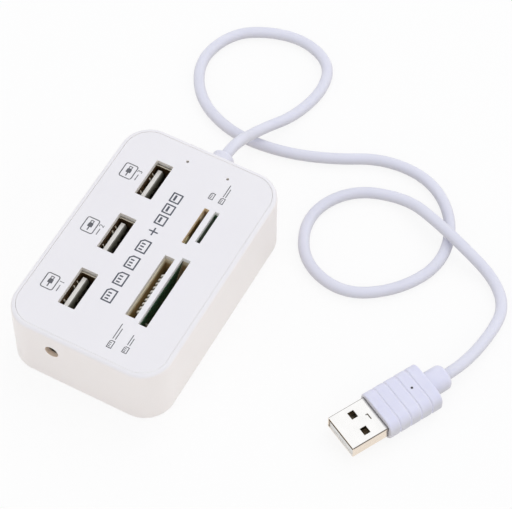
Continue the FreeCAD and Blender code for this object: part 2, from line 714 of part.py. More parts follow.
def detect_spring():
    """A leaf that stands on the near rail and leans into the full-size slot."""
    top = SOCKET_TOP - DETECT_DROP
    foot = top - DETECT_L
    middle = (CARD.near + CARD.far) / 2
    profile = ((CARD.y0, foot), (CARD.y0 + DETECT_T, foot), (CARD.y0 + DETECT_LEAN, top),
               (CARD.y0 + DETECT_LEAN - DETECT_T, top))
    corners = [V(middle - DETECT_W / 2, y, z) for y, z in profile]
    outline = Part.makePolygon(corners + corners[:1])
    return Part.Face(outline).extrude(V(DETECT_W, 0, 0))


def light(board_x, side):
    """A small lamp on a board, with its dome under the pinhole."""
    x = board_x + side * LIGHT_REACH
    dome_top = PANEL_UNDER - LIGHT_TOP_GAP
    block_top = dome_top - LIGHT_DOME_R
    block = box(board_x, board_x + side * 2 * LIGHT_REACH, PINHOLE_Y - LIGHT_L / 2, PINHOLE_Y + LIGHT_L / 2,
                block_top - LIGHT_H, block_top)
    dome = Part.makeSphere(LIGHT_DOME_R, V(x, PINHOLE_Y, block_top))
    return fuse([block, dome])


def chip(board_x, y, z, length, width, leads):
    """A moulded chip on the +X face of a board, with a row of bent leads above and below."""
    stand = board_x + CHIP_STAND
    pieces = [box(stand, stand + CHIP_T, y - length / 2, y + length / 2, z - width / 2, z + width / 2)]
    shoulder = stand + CHIP_T / 2
    for up in (1, -1):
        root = z + up * width / 2
        knee = root + up * LEAD_OUT
        inside = knee - up * LEAD_T
        toe = knee + up * LEAD_FOOT
        section = ((shoulder, root), (shoulder, knee), (board_x + LEAD_T, knee), (board_x + LEAD_T, toe),
                   (board_x, toe), (board_x, inside), (shoulder - LEAD_T, inside), (shoulder - LEAD_T, root))
        for i in range(leads):
            lead_y = y + (i - (leads - 1) / 2) * LEAD_PITCH
            pieces.append(strip(section, lead_y - LEAD_W / 2, lead_y + LEAD_W / 2))
    return fuse(pieces)


def on_board(shape, board_x, y, z):
    """Turns a shape drawn standing on the ground so that it stands on a board's +X face."""
    shape.rotate(V(0, 0, 0), Y_AXIS, 90)
    shape.translate(V(board_x, y, z))
    return shape


def crystal_can():
    base = rounded_block(0, 0, CRYSTAL_W, CRYSTAL_L, CRYSTAL_CORNER_R, 0, CRYSTAL_BASE_T)
    can = rounded_block(0, 0, CRYSTAL_W - 2 * CRYSTAL_FLANGE, CRYSTAL_L - 2 * CRYSTAL_FLANGE,
                        CRYSTAL_CORNER_R - CRYSTAL_FLANGE, CRYSTAL_BASE_T, CRYSTAL_T)
    return on_board(fuse([base, can]), HUB_X1, CRYSTAL_Y, CRYSTAL_Z)


def filter_capacitor():
    """An upright can with a crimped ring above its base."""
    radius = CAPACITOR_D / 2
    crimp = CAPACITOR_CRIMP
    profile = ((0, 0), (radius, 0), (radius, crimp), (radius - crimp, 2 * crimp), (radius, 3 * crimp),
               (radius, CAPACITOR_H - crimp), (radius - crimp, CAPACITOR_H), (0, CAPACITOR_H))
    outline = Part.makePolygon([V(x, 0, z) for x, z in profile + profile[:1]])
    can = Part.Face(outline).revolve(V(0, 0, 0), Z_AXIS, 360)
    return on_board(can, HUB_X1, CAPACITOR_Y, CAPACITOR_Z)


def chip_parts(board_x, places):
    parts = []
    for y, z in places:
        parts.append(box(board_x, board_x + CHIP_PART_T, y - CHIP_PART_W / 2, y + CHIP_PART_W / 2,
                         z - CHIP_PART_L / 2, z + CHIP_PART_L / 2))
    return parts


def cable_gland():
    """A moulded bush: a collar outside the back wall, a neck in its hole and a flange inside."""
    collar = GLAND_D / 2
    neck = GLAND_NECK_D / 2
    flange = GLAND_FLANGE_D / 2
    wall = CASE_L / 2
    profile = ((0, GLAND_INSIDE), (flange, GLAND_INSIDE), (flange, INNER_Y), (neck, INNER_Y), (neck, wall),
               (collar, wall), (collar, GLAND_BACK), (0, GLAND_BACK))
    outline = Part.makePolygon([V(GLAND_X + x, y, GLAND_Z) for x, y in profile + profile[:1]])
    bush = Part.Face(outline).revolve(V(GLAND_X, 0, GLAND_Z), Y_AXIS, 360)
    return bush.makeFillet(GLAND_EDGE_R, edges_along(bush, GLAND_BACK))


def leads():
    """The cable's four leads, from the gland's flange to a column of pads on the hub board."""
    corners = ((-1, 1), (1, 1), (-1, -1), (1, -1))
    for i, (name, (dx, dz)) in enumerate(zip(LEAD_NAMES, corners)):
        start = V(GLAND_X + dx * LEAD_SPREAD, GLAND_INSIDE, GLAND_Z + dz * LEAD_SPREAD)
        pad = V(HUB_X1, LEAD_PAD_Y, LEAD_PAD_TOP - i * LEAD_PAD_PITCH)
        points = [start, start - Y_AXIS * LEAD_RUN, pad + X_AXIS * LEAD_PAD_RUN, pad]
        save(name, tube(name, points, LEAD_D))


def link_wires():
    wires = []
    for i in range(LINK_COUNT):
        start = V(HUB_X1, LINK_Y + i * LINK_PITCH, LINK_Z)
        end = V(CARD_X0, LINK_Y + i * LINK_PITCH, LINK_Z + LINK_RISE)
        points = [start, start + X_AXIS * LINK_RUN, end - X_AXIS * LINK_RUN, end]
        wires.append(tube("link_wires", points, LEAD_D))
    return wires


def lay_plug(shape):
    """Lays down a plug piece drawn with its tip at the ground, Z along it, Y across it and -X on top."""
    shape.rotate(V(0, 0, 0), Y_AXIS, 90)
    shape.rotate(V(0, 0, 0), Z_AXIS, PLUG_YAW)
    shape.translate(PLUG_TIP)
    return shape


def latch_slits():
    """The two slits of the small latch on top of the shell, with the hollow under them."""
    over = -PLUG_T / 2 - CUT_SPARE
    under = -PLUG_T / 2 + LATCH_DEPTH
    left = LATCH_OFFSET + LATCH_W / 2
    across = box(over, under, left - LATCH_W, left, LATCH_REAR - LATCH_SLIT, LATCH_REAR)
    along = box(over, under, left - LATCH_SLIT, left, LATCH_REAR - LATCH_L, LATCH_REAR)
    return [across, along]


def plug_shell():
    """Folded sheet with two square windows above and two below, and a latch above."""
    rear = PLUG_REACH + PLUG_SUNK
    outside = rounded_block(0, 0, PLUG_T, PLUG_W, PLUG_CORNER_R, 0, rear)
    inside = rounded_block(0, 0, PLUG_T - 2 * PLUG_SHEET_T, PLUG_W - 2 * PLUG_SHEET_T,
                           PLUG_CORNER_R - PLUG_SHEET_T, -CUT_SPARE, rear + CUT_SPARE)
    windows = []
    for y in (-WINDOW_OFFSET, WINDOW_OFFSET):
        windows.append(box(-PLUG_T, PLUG_T, y - WINDOW_W / 2, y + WINDOW_W / 2,
                           WINDOW_SETBACK - WINDOW_L / 2, WINDOW_SETBACK + WINDOW_L / 2))
    return lay_plug(outside.cut([inside] + windows + latch_slits()))


def plug_insert():
    """The insulator: a shelf in the lower half of the shell and a block that fills its back."""
    half_t = PLUG_T / 2 - PLUG_SHEET_T - INSERT_SLIP
    half_w = PLUG_W / 2 - PLUG_SHEET_T - PLUG_CORNER_R + PLUG_SHEET_T
    shelf = box(0, half_t, -half_w, half_w, INSERT_SETBACK, CAVITY_L)
    block = box(-half_t, half_t, -half_w, half_w, CAVITY_L, PLUG_REACH + PLUG_SUNK)
    grooves = []
    for y in PORT_CONTACT_Y:
        half = CONTACT_W / 2 + CONTACT_SLIP
        grooves.append(box(0, CONTACT_SINK, y - half, y + half,
                           PLUG_CONTACT_SETBACK - CONTACT_SLIP, CAVITY_L))
    return lay_plug(fuse([shelf, block]).cut(grooves + latch_slits()))


def plug_contact(y):
    """One flat contact in its groove on the shelf."""
    return lay_plug(box(CONTACT_SINK - CONTACT_T, CONTACT_SINK, y - CONTACT_W / 2, y + CONTACT_W / 2,
                        PLUG_CONTACT_SETBACK, CAVITY_L))


def plug_grip():
    """The moulded grip: a core, soft-edged bands, a neck for the cable and the pit of the moulding gate."""
    core = rounded_block(0, 0, GRIP_T - 2 * GROOVE_T, GRIP_W - 2 * GROOVE_T, GRIP_CORNER_R - GROOVE_T,
                         PLUG_REACH + BAND_EDGE_R, GRIP_REAR - BAND_EDGE_R)
    pieces = [core]
    band_l = (GRIP_L - (GRIP_BAND_COUNT - 1) * GROOVE_W) / GRIP_BAND_COUNT
    for i in range(GRIP_BAND_COUNT):
        z0 = PLUG_REACH + i * (band_l + GROOVE_W)
        band = rounded_block(0, 0, GRIP_T, GRIP_W, GRIP_CORNER_R, z0, z0 + band_l)
        pieces.append(band.makeFillet(BAND_EDGE_R, edges_at(band, z0) + edges_at(band, z0 + band_l)))
    neck = rounded_block(0, 0, NECK_T, NECK_W, NECK_CORNER_R, GRIP_REAR - BAND_EDGE_R, NECK_REAR)
    pieces.append(neck.makeFillet(NECK_EDGE_R, edges_at(neck, NECK_REAR)))
    pocket = rounded_block(0, 0, PLUG_T, PLUG_W, PLUG_CORNER_R,
                           PLUG_REACH - CUT_SPARE, PLUG_REACH + PLUG_SUNK)
    gate = Part.makeCylinder(GATE_D / 2, GATE_DEPTH + CUT_SPARE,
                             V(-GRIP_T / 2 - CUT_SPARE, GATE_OFFSET, GATE_SETBACK), X_AXIS)
    return lay_plug(fuse(pieces).cut([pocket, gate]))


def cable():
    """The cable from the gland's end, down to the table and round to the plug's neck."""
    start = V(GLAND_X, GLAND_BACK, GLAND_Z)
    end = PLUG_TIP + PLUG_AXIS * NECK_REAR
    points = [start, start + Y_AXIS * CABLE_FIRST_RUN]
    points += [V(x, y, CABLE_D / 2 + lift) for x, y, lift in CABLE_ROUTE]
    points += [end + PLUG_AXIS * CABLE_LAST_RUN, end]
    return tube("cable", points, CABLE_D)


os.makedirs("parts", exist_ok=True)

save("lower_case", lower_case())
save("top_panel", top_panel())
save_group("case_screws", [case_screw(x, y) for x, y in SCREW_PLACES])

save("hub_board", hub_board())
for number, port_y in enumerate(PORT_PLACES, 1):
    save("port_shell_" + str(number), port_shell(port_y))
    save("port_tongue_" + str(number), port_tongue(port_y))
    save_group("port_contacts_" + str(number), [port_contact(port_y + y) for y in PORT_CONTACT_Y])
save("jack_body", jack_body())
save("jack_pin", jack_pin())
save("jack_spring", jack_spring())
save("hub_chip", chip(HUB_X1, HUB_CHIP_Y, HUB_CHIP_Z, HUB_CHIP_L, HUB_CHIP_W, HUB_CHIP_LEAD_COUNT))
save("crystal_can", crystal_can())
save("filter_capacitor", filter_capacitor())
save_group("hub_small_parts", chip_parts(HUB_X1, HUB_PART_PLACES))
save("power_light", light(HUB_X1, 1))

save("card_board", card_board())
save("stick_socket", pocket_socket(STICK, LARGE_SOCKET_BOTTOM))
save("mini_socket", pocket_socket(MINI, SMALL_SOCKET_BOTTOM))
save("micro_socket", pocket_socket(MICRO, SMALL_SOCKET_BOTTOM))
save("card_socket", card_socket())
save("card_socket_cover", card_socket_cover())
save_group("stick_contacts", contact_row(STICK, STICK_CONTACT_COUNT, STICK_PITCH, STICK_ROW_OFFSET, SPRING_W,
                                         LARGE_SOCKET_BOTTOM, STICK_REACH, STICK_BEND_DROP, STICK_LIP))
save_group("card_contacts", contact_row(CARD, CARD_CONTACT_COUNT, CARD_PITCH, 0, SPRING_W,
                                        LARGE_SOCKET_BOTTOM, CARD_REACH, DEEP_BEND_DROP, SPRING_LIP))
save_group("mini_contacts", contact_row(MINI, MINI_CONTACT_COUNT, MINI_PITCH, 0, SMALL_SPRING_W,
                                        SMALL_SOCKET_BOTTOM, MINI_REACH, DEEP_BEND_DROP, SPRING_LIP))
save_group("micro_contacts", contact_row(MICRO, MICRO_CONTACT_COUNT, MICRO_PITCH, 0, SMALL_SPRING_W,
                                         SMALL_SOCKET_BOTTOM, MICRO_REACH, DEEP_BEND_DROP, SPRING_LIP))
save("detect_spring", detect_spring())
save("reader_chip", chip(CARD_X1, READER_CHIP_Y, READER_CHIP_Z, READER_CHIP_L, READER_CHIP_W,
                         READER_CHIP_LEAD_COUNT))
save("activity_light", light(CARD_X0, -1))
card_part_places = [(READER_CHIP_Y + y, READER_CHIP_Z + z) for y, z in CARD_PART_PLACES]
save_group("card_small_parts", chip_parts(CARD_X1, card_part_places))

save_group("link_wires", link_wires())
leads()
save("cable_gland", cable_gland())
save("cable", cable())
save("plug_shell", plug_shell())
save("plug_insert", plug_insert())
save_group("plug_contacts", [plug_contact(y) for y in PORT_CONTACT_Y])
save("plug_grip", plug_grip())
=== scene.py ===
import json
import math

import bpy
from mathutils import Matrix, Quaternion, Vector


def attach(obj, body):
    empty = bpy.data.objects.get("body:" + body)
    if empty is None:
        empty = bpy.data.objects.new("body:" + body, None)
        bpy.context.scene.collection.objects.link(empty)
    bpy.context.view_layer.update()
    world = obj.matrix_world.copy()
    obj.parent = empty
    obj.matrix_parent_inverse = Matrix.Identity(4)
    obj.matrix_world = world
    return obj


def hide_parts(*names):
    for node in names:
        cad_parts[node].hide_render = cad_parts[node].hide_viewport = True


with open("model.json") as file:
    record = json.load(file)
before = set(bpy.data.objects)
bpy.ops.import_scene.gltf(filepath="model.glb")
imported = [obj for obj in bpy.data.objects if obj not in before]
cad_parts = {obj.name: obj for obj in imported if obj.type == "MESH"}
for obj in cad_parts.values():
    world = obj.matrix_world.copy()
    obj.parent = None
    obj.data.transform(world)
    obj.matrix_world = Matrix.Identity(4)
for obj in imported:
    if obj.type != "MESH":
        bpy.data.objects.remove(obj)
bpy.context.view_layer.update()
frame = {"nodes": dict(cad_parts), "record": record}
nodes = frame["nodes"]
scene = bpy.context.scene
scene.view_settings.view_transform = "Standard"
MM = 0.001

# Places of the part's mounts, in millimetres
MOUNTS = {}
for mount in frame["record"]["mounts"]:
    MOUNTS[mount["name"]] = Vector([value / MM for value in mount["pos_m"]])
INLET = MOUNTS["power_inlet"]
PORTS = (MOUNTS["port_1"], MOUNTS["port_2"], MOUNTS["port_3"])
MINI_SLOT = MOUNTS["mini_slot"]
MICRO_SLOT = MOUNTS["micro_slot"]
PLUG_TIP = MOUNTS["plug"]
PANEL_TOP = MINI_SLOT.z

# Camera, fitted to the photograph; lengths are in millimetres and angles in degrees
AZIMUTH = 27.88
ELEVATION = 55.66
ROLL = 0.54
DISTANCE = 649.1
TARGET = Vector((20.84, 26.15, 0.0))
FOCAL_PIXELS = 2234.8
IMAGE_WIDTH = 512
SENSOR = 36.0

azimuth = math.radians(AZIMUTH)
elevation = math.radians(ELEVATION)
to_camera = Vector((math.sin(azimuth) * math.cos(elevation), -math.cos(azimuth) * math.cos(elevation),
                    math.sin(elevation)))
camera = bpy.data.objects.new("camera", bpy.data.cameras.new("camera"))
camera.data.sensor_width = SENSOR
camera.data.lens = SENSOR * FOCAL_PIXELS / IMAGE_WIDTH
camera.data.clip_start = 0.01
camera.data.clip_end = 20.0
camera.location = (TARGET + to_camera * DISTANCE) * MM
camera.rotation_mode = "QUATERNION"
level = (-to_camera).to_track_quat("-Z", "Y")
camera.rotation_quaternion = level @ Quaternion((0, 0, 1), math.radians(ROLL))
scene.collection.objects.link(camera)
scene.camera = camera

# Cable: the route of the part's source, with the hump at the second crossing let down to what it crosses
CABLE_D = 3.4
LIE = CABLE_D / 2
HUMP = 5.4
PLUG_YAW = math.radians(62.2)
PLUG_AXIS = Vector((math.cos(PLUG_YAW), math.sin(PLUG_YAW), 0))
PLUG_SIDE = Vector((-PLUG_AXIS.y, PLUG_AXIS.x, 0))
NECK_REAR = 35.75
LAST_RUN = 6.8
NECK_END = PLUG_TIP + PLUG_AXIS * NECK_REAR
LAST_POINT = NECK_END + PLUG_AXIS * LAST_RUN
CABLE_POINTS = (
    (1.4, 42.9, 15.1), (1.4, 46.5, 15.1), (1.7, 52.4, 12.6), (1.3, 57.2, 8.5), (2.8, 64.9, 4.8),
    (7.5, 75.1, LIE), (10.6, 87.3, LIE), (8.2, 97.8, LIE), (-2.0, 102.9, LIE), (-13.5, 101.5, LIE),
    (-24.5, 95.0, LIE), (-28.6, 80.5, LIE), (-20.5, 66.8, LIE), (-5.5, 60.3, LIE), (10.5, 61.3, LIE),
    (25.0, 66.2, LIE), (38.5, 73.9, LIE), (54.5, 73.6, LIE), (66.5, 63.2, LIE), (70.3, 47.7, LIE),
    (63.0, 33.6, LIE), (49.5, 24.6, LIE), (33.8, 29.6, LIE), (27.6, 45.0, LIE), (35.2, 59.2, LIE),
    (51.0, 64.0, LIE), (63.2, 58.2, HUMP), (74.4, 53.6, HUMP), (85.0, 50.7, LIE), (91.8, 43.6, LIE),
    (92.9, 35.1, LIE), tuple(LAST_POINT), tuple(NECK_END),
)


def make_cable():
    """One open curve through the route's control points, as round as the cable."""
    curve = bpy.data.curves.new("cable_jacket", "CURVE")
    curve.dimensions = "3D"
    curve.bevel_depth = CABLE_D / 2 * MM
    curve.bevel_resolution = 8
    curve.resolution_u = 10
    spline = curve.splines.new("NURBS")
    spline.points.add(len(CABLE_POINTS) - 1)
    for point, place in zip(spline.points, CABLE_POINTS):
        point.co = (*[value * MM for value in place], 1)
    spline.order_u = 3
    spline.use_endpoint_u = True
    made = bpy.data.objects.new("cable_jacket", curve)
    scene.collection.objects.link(made)
    return made


cable = make_cable()

# Where the materials change on the pieces, in millimetres; the slope is a ratio
RIM_START = 18.0
INLET_R = 2.2
OPENINGS_X = 22.0
OPENINGS_Y = 35.0
# Past this x the panel's cut sides are painted near white as painted light
PAINTED_LIGHT_CUT_X = 9.9
MINI_HALF = 6.7
MINI_REACH_X = 1.2
MINI_REACH_Y = 7.2
LIP_START = 18.2
LIP_END = 19.4
# Edges of a port's spring fingers, where painted highlights stand
FINGER_EDGES = (-3.5, 1.7, 3.5)
FINGER_HIGHLIGHT_HALF = 0.2
FINGER_MIDDLE = 18.8
FINGER_HALF = 0.9
# Far top edge of a port's shell, where a painted highlight stands
SHELL_EDGE = 20.1
SHELL_END = 6.0
# Height where the tongue's painted shade is darkest
SHADE_FOOT = 16.0
TONGUE_TIP = 19.25
BOARD_FACE = 10.5
BOARD_SKIN = 0.1
MICRO_HALF = 6.5
MICRO_NEAR = 8.0
MICRO_FAR = 18.0
FIELD_SLOPE = 1.17
FIELD_EDGE = 17.45
FIELD_HALF = 4.0
FIELD_LINE = 0.2
# Where the painted reflection of the grip starts on the plug's shell
GRIP_REFLECTION_START = 10.9
GRIP_FRONT = 11.75
GROOVE_FIRST = 15.224
GROOVE_PITCH = 3.584
GROOVE_MIDDLE = 20.6
GROOVE_REACH = 6.5
GATE_ALONG = 23.9
GATE_ACROSS = 0.15
GATE_DEEP = 7.6
GATE_PIT = 0.42
gate = PLUG_TIP + PLUG_AXIS * GATE_ALONG + PLUG_SIDE * GATE_ACROSS
gate.z = GATE_DEEP

# Shares of a groove's pitch where its paler tone, painted light against the groove's shade, is full and where
# it ends
GROOVE_CORE = 0.02
GROOVE_BRIM = 0.11

# Noise scales that several materials share: the larger, the finer
FLOW = 45.0
VINYL_FLOW = 70.0
STAINS = 300.0
CUT_MARKS = 400.0
SPECKS = 500.0
DRAWN_LINES = 900.0
MOULD_GRAIN = 8000.0

# How a texture is stretched: drawn lines along Y, or upright
LENGTHWISE = (1.0, 0.04, 1.0)
UPRIGHT = (1.0, 1.0, 0.04)

# Sockets of a mix node for its factor and two colours, and the one that gives the mixed colour
MIX_INPUTS = (0, 6, 7)
MIX_OUTPUT = 2


def srgb(red, green, blue):
    """A colour as it reads on screen, 0 to 255, as linear light."""
    linear = []
    for value in (red, green, blue):
        share = value / 255
        linear.append(share / 12.92 if share <= 0.04045 else ((share + 0.055) / 1.055) ** 2.4)
    return (*linear, 1.0)


def shade(colour, factor):
    """A colour made lighter or darker."""
    return (*[min(1.0, channel * factor) for channel in colour[:3]], 1.0)


def fill(node, inputs):
    """Links outputs to a node's inputs, or sets plain values on them, by name or number."""
    for name, value in inputs.items():
        if isinstance(value, bpy.types.NodeSocket):
            node.id_data.links.new(value, node.inputs[name])
        else:
            node.inputs[name].default_value = value


def add_node(tree, kind, inputs=None, **settings):
    """A new node with its settings and inputs."""
    made = tree.nodes.new(kind)
    for name, value in settings.items():
        setattr(made, name, value)
    fill(made, inputs or {})
    return made


class Maker:
    """Builds one material's node tree."""

    def __init__(self, name):
        self.material = bpy.data.materials.new(name)
        self.material.use_nodes = True
        self.tree = self.material.node_tree
        self.shader = self.tree.nodes["Principled BSDF"]
        self.place = self.node("ShaderNodeTexCoord").outputs["Object"]

    def node(self, kind, inputs=None, **settings):
        return add_node(self.tree, kind, inputs, **settings)

    def noise(self, scale, detail=3.0, vector=None):
        inputs = {"Vector": vector or self.place, "Scale": scale, "Detail": detail}
        return self.node("ShaderNodeTexNoise", inputs).outputs["Fac"]

    def stretched(self, scale):
        """The place on the piece, scaled along each axis."""
        return self.node("ShaderNodeMapping", {"Vector": self.place, "Scale": scale}).outputs["Vector"]

    def ramp(self, value, stops):
        """A colour that follows a value from stop to stop."""
        node = self.node("ShaderNodeValToRGB", {"Fac": value})
        elements = node.color_ramp.elements
        while len(elements) < len(stops):
            elements.new(0.5)
        for element, (position, colour) in zip(elements, stops):
            element.position = position
            element.color = colour
        return node.outputs["Color"]

    def clouds(self, scale, colour, spread):
        """A colour that drifts a little lighter and darker."""
        stops = ((0.3, shade(colour, 1 - spread)), (0.7, shade(colour, 1 + spread)))
        return self.ramp(self.noise(scale, detail=4.0), stops)

    def mix(self, factor, first, second, blend="MIX"):
        inputs = dict(zip(MIX_INPUTS, (factor, first, second)))
        return self.node("ShaderNodeMix", inputs, data_type="RGBA", blend_type=blend).outputs[MIX_OUTPUT]

    def clouded(self, colour, scale, tint, spread):
        """A colour multiplied by the clouds of a tint."""
        return self.mix(1.0, colour, self.clouds(scale, tint, spread), "MULTIPLY")

    def span(self, value, low, high, start=0.0, end=1.0):
        """A value that goes from low to high as another goes from start to end."""
        inputs = {"Value": value, "From Min": start, "From Max": end, "To Min": low, "To Max": high}
        return self.node("ShaderNodeMapRange", inputs).outputs["Result"]

    def share(self, value, start, end):
        """How far a value has gone from start to end: 0 before it, 1 past it."""
        return self.span(value, 0.0, 1.0, start, end)

    def math(self, operation, first, second=0.0):
        return self.node("ShaderNodeMath", {0: first, 1: second}, operation=operation).outputs[0]

    def both(self, first, second):
        """1 where two masks are 1."""
        return self.math("MULTIPLY", first, second)

    def above(self, value, limit):
        """1 where a value is more than a limit."""
        return self.math("GREATER_THAN", value, limit)

    def below(self, value, limit):
        """1 where a value is less than a limit."""
        return self.math("LESS_THAN", value, limit)

    def away(self, value, middle):
        """How far a value is from a middle, to either side."""
        return self.math("ABSOLUTE", self.math("SUBTRACT", value, middle))

    def axis(self, name):
        """One coordinate of the place on the piece, in metres."""
        return self.node("ShaderNodeSeparateXYZ", {0: self.place}).outputs[name]

    def within(self, name, middle, half):
        """1 where a coordinate lies within half of a middle, both in millimetres."""
        return self.below(self.away(self.axis(name), middle * MM), half * MM)

    def facing(self, name, normal="True Normal"):
        """How far a face looks along an axis: 1 along it, 0 across it."""
        geometry = self.node("ShaderNodeNewGeometry")
        return self.node("ShaderNodeSeparateXYZ", {0: geometry.outputs[normal]}).outputs[name]

    def along(self, direction, start):
        """The distance from a place along a direction, in metres."""
        offset = self.node("ShaderNodeVectorMath", {0: self.place, 1: start * MM}, operation="SUBTRACT")
        inputs = {0: offset.outputs["Vector"], 1: direction}
        return self.node("ShaderNodeVectorMath", inputs, operation="DOT_PRODUCT").outputs["Value"]

    def near(self, place, reach):
        """1 within reach of a place, both in millimetres."""
        distance = self.node("ShaderNodeVectorMath", {0: self.place, 1: place * MM}, operation="DISTANCE")
        return self.below(distance.outputs["Value"], reach * MM)

    def colour(self, output):
        fill(self.shader, {"Base Color": output})

    def roughness(self, output):
        fill(self.shader, {"Roughness": output})

    def gloss(self, scale, detail, smoothest, roughest):
        """Roughness that drifts between two values."""
        self.roughness(self.span(self.noise(scale, detail), smoothest, roughest))

    def bump(self, height, strength, depth):
        """An uneven surface, its depth in millimetres."""
        inputs = {"Height": height, "Strength": strength, "Distance": depth * MM}
        fill(self.shader, {"Normal": self.node("ShaderNodeBump", inputs).outputs["Normal"]})

    def grain(self, scale, strength, depth):
        """A fine random grain, its depth in millimetres."""
        self.bump(self.noise(scale, detail=2.0), strength, depth)


def finish_moulding(m, rough):
    """The fine eroded grain and uneven gloss of moulded plastic."""
    m.gloss(scale=160.0, detail=3.0, smoothest=rough - 0.06, roughest=rough + 0.06)
    m.grain(MOULD_GRAIN, strength=0.35, depth=0.006)
    fill(m.shader, {"Specular IOR Level": 0.4})


def finish_drawn(m, stretch, smoothest, roughest, strength=0.4, depth=0.004):
    """The lines that drawing leaves in sheet metal, in its polish and in its surface."""
    lines = m.noise(DRAWN_LINES, detail=5.0, vector=m.stretched(stretch))
    m.roughness(m.span(lines, smoothest, roughest))
    m.bump(lines, strength, depth)


def let_light_in(m, weight, depth):
    """Light that enters a pale plastic and comes out a little way off, so that thin seams stay pale."""
    fill(m.shader, {"Subsurface Weight": weight, "Subsurface Radius": (1.0, 1.0, 1.0),
                    "Subsurface Scale": depth * MM})


def moulded(name, colour, rough, mottle):
    """Moulded plastic with faint flow clouds."""
    m = Maker(name)
    m.colour(m.clouds(FLOW, colour, mottle))
    finish_moulding(m, rough)
    return m.material


def case_plastic(name, wall, rim):
    """The case: warm walls, a browner inlet hole, and the panel's cooler white over the rounded rim."""
    m = Maker(name)
    brown = srgb(238, 220, 202)
    upward = m.share(m.facing("Z", "Normal"), start=0.15, end=0.85)
    over = m.both(upward, m.above(m.axis("Z"), RIM_START * MM))
    tone = m.mix(over, m.clouds(FLOW, wall, spread=0.012), m.clouds(FLOW, rim, spread=0.008))
    bore = m.both(m.within("X", INLET.x, INLET_R), m.within("Z", INLET.z, INLET_R))
    across = m.below(m.math("ABSOLUTE", m.facing("Y")), limit=0.5)
    m.colour(m.mix(m.both(bore, across), tone, m.clouds(CUT_MARKS, brown, spread=0.05)))
    finish_moulding(m, rough=0.42)
    let_light_in(m, weight=0.5, depth=0.2)
    return m.material


def panel_plastic(name, face, cut):
    """The panel: a smooth face, an edge painted white as painted light against the shade of the seam, and raw
    cut sides, tan in one slot and painted pale as painted light at the right.
    """
    m = Maker(name)
    # Painted light: the panel's upright outer edges, down in the seam, are painted near white against the
    # seam's shade.
    painted_light_edge = srgb(254, 254, 254)
    tan = srgb(239, 221, 190)
    painted_light_pale = srgb(254, 254, 252)
    upright = m.below(m.facing("Z"), limit=0.6)
    tone = m.mix(upright, m.clouds(FLOW, face, spread=0.008), m.clouds(FLOW, painted_light_edge, spread=0.005))
    mini = m.both(m.within("X", MINI_SLOT.x, MINI_REACH_X), m.within("Y", MINI_SLOT.y, MINI_REACH_Y))
    sides = m.mix(mini, m.clouds(CUT_MARKS, cut, spread=0.04), m.clouds(CUT_MARKS, tan, spread=0.04))
    # Painted light: cut sides at the right, in the narrow slots, are painted near white against their shade.
    right = m.above(m.axis("X"), PAINTED_LIGHT_CUT_X * MM)
    sides = m.mix(right, sides, m.clouds(CUT_MARKS, painted_light_pale, spread=0.01))
    inside = m.both(m.within("X", 0.0, OPENINGS_X), m.within("Y", 0.0, OPENINGS_Y))
    m.colour(m.mix(m.both(upright, inside), tone, sides))
    finish_moulding(m, rough=0.36)
    fill(m.shader, {"Coat Weight": 0.05, "Coat Roughness": 0.25})
    let_light_in(m, weight=0.5, depth=0.2)
    return m.material


def socket_plastic(name, wall, lip):
    """A card socket's frame: brown in its pocket, paler towards its sloped lip."""
    m = Maker(name)
    height = m.share(m.axis("Z"), LIP_START * MM, LIP_END * MM)
    m.colour(m.mix(height, m.clouds(STAINS, wall, spread=0.12), m.clouds(STAINS, lip, spread=0.05)))
    finish_moulding(m, rough=0.5)
    return m.material


def mini_socket_plastic(name):
    """The small stick socket: tan at both ends and dark brown between."""
    m = Maker(name)
    near = srgb(255, 244, 200)
    dark = srgb(132, 100, 52)
    far = srgb(255, 232, 205)
    last = srgb(200, 166, 130)
    along = m.share(m.axis("Y"), (MINI_SLOT.y - MINI_HALF) * MM, (MINI_SLOT.y + MINI_HALF) * MM)
    zones = m.ramp(along, ((0.0, near), (0.28, near), (0.33, dark), (0.76, dark), (0.83, far), (0.94, far),
                           (1.0, last)))
    m.colour(m.clouded(zones, STAINS, srgb(250, 250, 250), spread=0.08))
    finish_moulding(m, rough=0.5)
    return m.material


def tongue_plastic(name):
    """A port's insulator: white at its tip, with painted shade darkening it down in the port."""
    m = Maker(name)
    # Painted shade: the sides darken with depth down in the port.
    height = m.share(m.axis("Z"), SHADE_FOOT * MM, TONGUE_TIP * MM)
    painted_depth_shade = m.ramp(height, ((0.0, srgb(46, 48, 38)), (0.5, srgb(68, 68, 56)), (0.8, srgb(108, 107, 97)),
                            (1.0, srgb(196, 194, 188))))
    painted_depth_shade = m.clouded(painted_depth_shade, SPECKS, srgb(246, 246, 246), spread=0.05)
    tip = m.above(m.facing("Z"), limit=0.9)
    m.colour(m.mix(tip, painted_depth_shade, m.clouds(SPECKS, srgb(254, 252, 250), spread=0.01)))
    finish_moulding(m, rough=0.42)
    return m.material


def sheet_metal(name, colour, rough, stretch=(1.0, 1.0, 1.0), metallic=1.0):
    """Plated sheet: drawn lines along one way, small stains and uneven polish."""
    m = Maker(name)
    stains = ((0.25, shade(colour, 0.86)), (0.6, colour), (0.85, shade(colour, 1.06)))
    m.colour(m.ramp(m.noise(scale=260.0, detail=4.0), stains))
    finish_drawn(m, stretch, smoothest=rough - 0.07, roughest=rough + 0.09)
    fill(m.shader, {"Metallic": metallic})
    return m.material


